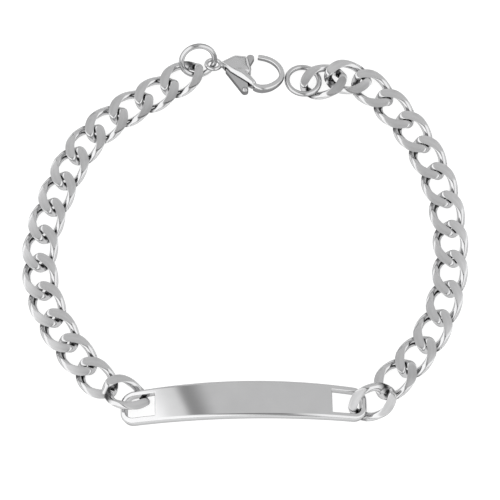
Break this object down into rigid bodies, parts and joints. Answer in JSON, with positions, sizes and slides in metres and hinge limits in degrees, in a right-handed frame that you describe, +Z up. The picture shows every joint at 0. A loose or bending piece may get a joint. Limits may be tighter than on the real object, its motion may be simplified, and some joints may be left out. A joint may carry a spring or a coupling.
{
  "type": "identification bracelet",
  "caption": "Curb chain bracelet with a blank arched name plate, lying unfastened, with a jump ring, a lever clasp and an end ring.",
  "frame": {"origin": "under the middle of the open bracelet, on the surface it lies on", "axes": "+X along the name plate, +Y from the plate toward the clasp, +Z up"},
  "size_m": [0.0742, 0.0656, 0.0058],
  "materials": {
    "plate": "polished steel",
    "chain": "polished steel, faces ground satin",
    "rings": "polished steel wire",
    "clasp": "polished cast steel",
    "clasp_lever": "polished cast steel",
    "clasp_pin": "plain steel"
  },
  "bodies": {
    "bracelet": {"id_plate": "plate", "link_left_01": "chain", "link_left_02": "chain", "link_left_03": "chain", "link_left_04": "chain", "link_left_05": "chain", "link_left_06": "chain", "link_left_07": "chain", "link_left_08": "chain", "link_left_09": "chain", "link_left_10": "chain", "link_left_11": "chain", "link_left_12": "chain", "link_left_13": "chain", "link_left_14": "chain", "link_left_15": "chain", "link_right_01": "chain", "link_right_02": "chain", "link_right_03": "chain", "link_right_04": "chain", "link_right_05": "chain", "link_right_06": "chain", "link_right_07": "chain", "link_right_08": "chain", "link_right_09": "chain", "link_right_10": "chain", "link_right_11": "chain", "link_right_12": "chain", "link_right_13": "chain", "link_right_14": "chain", "link_right_15": "chain", "jump_ring": "rings", "end_ring": "rings", "clasp_body": "clasp", "clasp_pin": "clasp_pin"},
    "lever": {"clasp_lever": "clasp_lever"}
  },
  "joints": [
    {"name": "clasp_lever_hinge", "type": "hinge", "parent": "bracelet", "child": "lever", "pos_m": [-0.00068, 0.02893, 0.00188], "axis": [-0.0301, -0.3423, -0.9391], "range_deg": [0, 25], "stiffness_Nm_per_rad": 0.00002, "springref_deg": -11.46}
  ]
}
